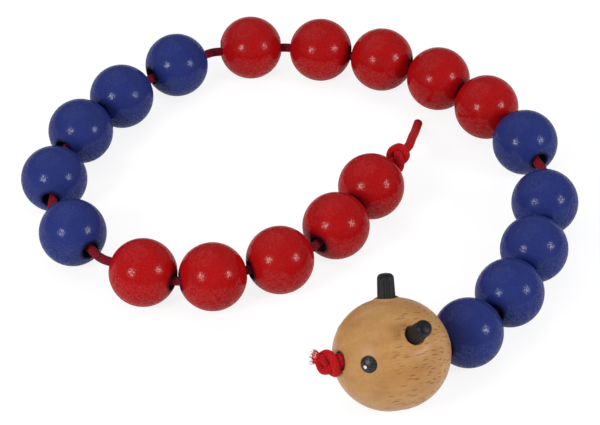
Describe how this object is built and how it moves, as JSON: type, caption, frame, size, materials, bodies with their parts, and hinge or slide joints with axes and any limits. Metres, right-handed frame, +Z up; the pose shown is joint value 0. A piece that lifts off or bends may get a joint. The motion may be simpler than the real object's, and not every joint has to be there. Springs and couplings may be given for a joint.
{
  "type": "counting bead chain",
  "caption": "Wooden counting bead chain: a horned animal's head and a row of painted balls on a knotted red cord, lying in an open curl on a table.",
  "frame": {"origin": "on the table, below the middle of the chain's outline", "axes": "+Z up from the table, +Y away from the head's side of the curl, +X to the right as the picture shows it"},
  "size_m": [0.2094, 0.2129, 0.0445],
  "materials": {
    "beech": "satin",
    "blue_lacquer": "gloss",
    "red_lacquer": "gloss",
    "black_stain": "satin",
    "eye_black": "gloss",
    "red_cord": "matte"
  },
  "bodies": {
    "cord": {"cord_00": "red_cord", "nose_knot": "red_cord"},
    "head": {"head": "beech", "horn_left": "black_stain", "horn_right": "black_stain", "eye_left": "eye_black", "eye_right": "eye_black"},
    "link_01": {"cord_01": "red_cord"},
    "bead_01": {"bead_01": "blue_lacquer"},
    "link_02": {"cord_02": "red_cord"},
    "bead_02": {"bead_02": "blue_lacquer"},
    "link_03": {"cord_03": "red_cord"},
    "bead_03": {"bead_03": "blue_lacquer"},
    "link_04": {"cord_04": "red_cord"},
    "bead_04": {"bead_04": "blue_lacquer"},
    "link_05": {"cord_05": "red_cord"},
    "bead_05": {"bead_05": "blue_lacquer"},
    "link_06": {"cord_06": "red_cord"},
    "bead_06": {"bead_06": "red_lacquer"},
    "link_07": {"cord_07": "red_cord"},
    "bead_07": {"bead_07": "red_lacquer"},
    "link_08": {"cord_08": "red_cord"},
    "bead_08": {"bead_08": "red_lacquer"},
    "link_09": {"cord_09": "red_cord"},
    "bead_09": {"bead_09": "red_lacquer"},
    "link_10": {"cord_10": "red_cord"},
    "bead_10": {"bead_10": "red_lacquer"},
    "link_11": {"cord_11": "red_cord"},
    "bead_11": {"bead_11": "blue_lacquer"},
    "link_12": {"cord_12": "red_cord"},
    "bead_12": {"bead_12": "blue_lacquer"},
    "link_13": {"cord_13": "red_cord"},
    "bead_13": {"bead_13": "blue_lacquer"},
    "link_14": {"cord_14": "red_cord"},
    "bead_14": {"bead_14": "blue_lacquer"},
    "link_15": {"cord_15": "red_cord"},
    "bead_15": {"bead_15": "blue_lacquer"},
    "link_16": {"cord_16": "red_cord"},
    "bead_16": {"bead_16": "red_lacquer"},
    "link_17": {"cord_17": "red_cord"},
    "bead_17": {"bead_17": "red_lacquer"},
    "link_18": {"cord_18": "red_cord"},
    "bead_18": {"bead_18": "red_lacquer"},
    "link_19": {"cord_19": "red_cord"},
    "bead_19": {"bead_19": "red_lacquer"},
    "link_20": {"cord_20": "red_cord", "tail_knot": "red_cord", "tail_cord": "red_cord"},
    "bead_20": {"bead_20": "red_lacquer"},
    "cord_bend_04": {"cord_bend_04": "red_cord"},
    "cord_bend_10": {"cord_bend_10": "red_cord"},
    "cord_bend_14": {"cord_bend_14": "red_cord"},
    "cord_bend_15": {"cord_bend_15": "red_cord"}
  },
  "joints": [
    {"name": "head_spin", "type": "hinge", "parent": "cord", "child": "head", "pos_m": [0.03217, -0.08644, 0.01981], "axis": [-0.8781, -0.4095, 0.2476], "continuous": true},
    {"name": "neck_bend", "type": "hinge", "parent": "cord", "child": "link_01", "pos_m": [0.04994, -0.0772, 0.01428], "axis": [0, 0, 1], "range_deg": [-30, 6]},
    {"name": "bead_01_spin", "type": "hinge", "parent": "link_01", "child": "bead_01", "pos_m": [0.05988, -0.0688, 0.0125], "axis": [0.7168, 0.6922, -0.084], "continuous": true},
    {"name": "bend_01", "type": "hinge", "parent": "link_01", "child": "link_02", "pos_m": [0.06857, -0.05921, 0.0121], "axis": [0, 0, -1], "range_deg": [-18, 34]},
    {"name": "bead_02_spin", "type": "hinge", "parent": "link_02", "child": "bead_02", "pos_m": [0.07577, -0.04846, 0.0125], "axis": [0.5, 0.866, 0], "continuous": true},
    {"name": "bend_02", "type": "hinge", "parent": "link_02", "child": "link_03", "pos_m": [0.08134, -0.0371, 0.0121], "axis": [0, 0, 1], "range_deg": [-16, 9]},
    {"name": "bead_03_spin", "type": "hinge", "parent": "link_03", "child": "bead_03", "pos_m": [0.08626, -0.02544, 0.0125], "axis": [0.3256, 0.9455, 0], "continuous": true},
    {"name": "bend_03", "type": "hinge", "parent": "link_03", "child": "link_04", "pos_m": [0.08972, -0.01274, 0.0121], "axis": [0, 0, -1], "range_deg": [-18, 37]},
    {"name": "bead_04_slide", "type": "slide", "parent": "link_04", "child": "bead_04", "axis": [0.1219, 0.9925, 0], "range_m": [-0.0005, 0.0035]},
    {"name": "bend_04", "type": "hinge", "parent": "link_04", "child": "cord_bend_04", "pos_m": [0.09313, 0.01504, 0.0121], "axis": [0, 0, 1], "range_deg": [-60, 17]},
    {"name": "lift_04", "type": "hinge", "parent": "cord_bend_04", "child": "link_05", "pos_m": [0.09233, 0.02078, 0.0121], "axis": [0.9205, 0.3907, 0], "range_deg": [0, 30]},
    {"name": "bead_05_slide", "type": "slide", "parent": "link_05", "child": "bead_05", "axis": [-0.3907, 0.9205, 0], "range_m": [-0.0035, 0]},
    {"name": "bend_05", "type": "hinge", "parent": "link_05", "child": "link_06", "pos_m": [0.08156, 0.04614, 0.0121], "axis": [0, 0, -1], "range_deg": [-5, 27]},
    {"name": "bead_06_spin", "type": "hinge", "parent": "link_06", "child": "bead_06", "pos_m": [0.07372, 0.05614, 0.0125], "axis": [-0.6691, 0.7431, 0], "continuous": true},
    {"name": "bend_06", "type": "hinge", "parent": "link_06", "child": "link_07", "pos_m": [0.06463, 0.06494, 0.0121], "axis": [0, 0, 1], "range_deg": [-11, 13]},
    {"name": "bead_07_spin", "type": "hinge", "parent": "link_07", "child": "bead_07", "pos_m": [0.05567, 0.07387, 0.0125], "axis": [-0.7547, 0.6561, 0], "continuous": true},
    {"name": "bend_07", "type": "hinge", "parent": "link_07", "child": "link_08", "pos_m": [0.04549, 0.08159, 0.0121], "axis": [0, 0, -1], "range_deg": [-4, 36]},
    {"name": "bead_08_spin", "type": "hinge", "parent": "link_08", "child": "bead_08", "pos_m": [0.03355, 0.08614, 0.0125], "axis": [-0.9563, 0.2924, 0], "continuous": true},
    {"name": "bend_08", "type": "hinge", "parent": "link_08", "child": "link_09", "pos_m": [0.02122, 0.08901, 0.0121], "axis": [0, 0, 1], "range_deg": [-10, 9]},
    {"name": "bead_09_slide", "type": "slide", "parent": "link_09", "child": "bead_09", "axis": [-0.9781, 0.2079, 0], "range_m": [0, 0.0024]},
    {"name": "bend_09", "type": "hinge", "parent": "link_09", "child": "link_10", "pos_m": [-0.00499, 0.09458, 0.0121], "axis": [0, 0, -1], "range_deg": [-4, 60]},
    {"name": "bead_10_slide", "type": "slide", "parent": "link_10", "child": "bead_10", "axis": [-0.9945, -0.1045, 0], "range_m": [-0.0024, 0.0035]},
    {"name": "bend_10", "type": "hinge", "parent": "link_10", "child": "cord_bend_10", "pos_m": [-0.03213, 0.09172, 0.0121], "axis": [0, 0, 1], "range_deg": [-60, 3]},
    {"name": "lift_10", "type": "hinge", "parent": "cord_bend_10", "child": "link_11", "pos_m": [-0.03754, 0.08965, 0.0121], "axis": [-0.5878, 0.809, 0], "range_deg": [0, 30]},
    {"name": "bead_11_slide", "type": "slide", "parent": "link_11", "child": "bead_11", "axis": [-0.809, -0.5878, 0], "range_m": [-0.0035, 0.0015]},
    {"name": "bend_11", "type": "hinge", "parent": "link_11", "child": "link_12", "pos_m": [-0.05979, 0.07348, 0.0121], "axis": [0, 0, -1], "range_deg": [-2, 50]},
    {"name": "bead_12_slide", "type": "slide", "parent": "link_12", "child": "bead_12", "axis": [-0.6293, -0.7771, 0], "range_m": [-0.003, 0.0004]},
    {"name": "bend_12", "type": "hinge", "parent": "link_12", "child": "link_13", "pos_m": [-0.07695, 0.05228, 0.0121], "axis": [0, 0, 1], "range_deg": [-26, 2]},
    {"name": "bead_13_slide", "type": "slide", "parent": "link_13", "child": "bead_13", "axis": [-0.5, -0.866, 0], "range_m": [-0.0004, 0.0028]},
    {"name": "bend_13", "type": "hinge", "parent": "link_13", "child": "link_14", "pos_m": [-0.0908, 0.0283, 0.0121], "axis": [0, 0, -1], "range_deg": [-2, 60]},
    {"name": "bead_14_slide", "type": "slide", "parent": "link_14", "child": "bead_14", "axis": [-0.0349, -0.9994, 0], "range_m": [-0.0025, 0.0035]},
    {"name": "bend_14", "type": "hinge", "parent": "link_14", "child": "cord_bend_14", "pos_m": [-0.09178, 0.00016, 0.0121], "axis": [0, 0, 1], "range_deg": [-36, 3]},
    {"name": "lift_14", "type": "hinge", "parent": "cord_bend_14", "child": "link_15", "pos_m": [-0.09012, -0.00526, 0.0121], "axis": [-0.809, -0.5878, 0], "range_deg": [0, 30]},
    {"name": "bead_15_slide", "type": "slide", "parent": "link_15", "child": "bead_15", "axis": [0.5878, -0.809, 0], "range_m": [-0.0035, 0.0035]},
    {"name": "bend_15", "type": "hinge", "parent": "link_15", "child": "cord_bend_15", "pos_m": [-0.07368, -0.02789, 0.0121], "axis": [0, 0, -1], "range_deg": [-8, 30]},
    {"name": "lift_15", "type": "hinge", "parent": "cord_bend_15", "child": "link_16", "pos_m": [-0.06916, -0.03149, 0.0121], "axis": [-0.3907, -0.9205, 0], "range_deg": [0, 30]},
    {"name": "bead_16_slide", "type": "slide", "parent": "link_16", "child": "bead_16", "axis": [0.9205, -0.3907, 0], "range_m": [-0.0035, 0]},
    {"name": "bend_16", "type": "hinge", "parent": "link_16", "child": "link_17", "pos_m": [-0.0437, -0.0423, 0.0121], "axis": [0, 0, 1], "range_deg": [-24, 2]},
    {"name": "bead_17_spin", "type": "hinge", "parent": "link_17", "child": "bead_17", "pos_m": [-0.03082, -0.04021, 0.0125], "axis": [0.9744, 0.225, 0], "continuous": true},
    {"name": "bend_17", "type": "hinge", "parent": "link_17", "child": "link_18", "pos_m": [-0.01845, -0.03647, 0.0121], "axis": [0, 0, -1], "range_deg": [-19, 16]},
    {"name": "bead_18_spin", "type": "hinge", "parent": "link_18", "child": "bead_18", "pos_m": [-0.00658, -0.03138, 0.0125], "axis": [0.891, 0.454, 0], "continuous": true},
    {"name": "bend_18", "type": "hinge", "parent": "link_18", "child": "link_19", "pos_m": [0.00561, -0.02421, 0.0121], "axis": [0, 0, 1], "range_deg": [-18, 30]},
    {"name": "bead_19_slide", "type": "slide", "parent": "link_19", "child": "bead_19", "axis": [0.5446, 0.8387, 0], "range_m": [-0.0015, 0]},
    {"name": "bend_19", "type": "hinge", "parent": "link_19", "child": "link_20", "pos_m": [0.02031, -0.00157, 0.0121], "axis": [0, 0, -1], "range_deg": [-29, 20]},
    {"name": "bead_20_spin", "type": "hinge", "parent": "link_20", "child": "bead_20", "pos_m": [0.0275, 0.00916, 0.0125], "axis": [0.5, 0.866, 0], "continuous": true}
  ]
}
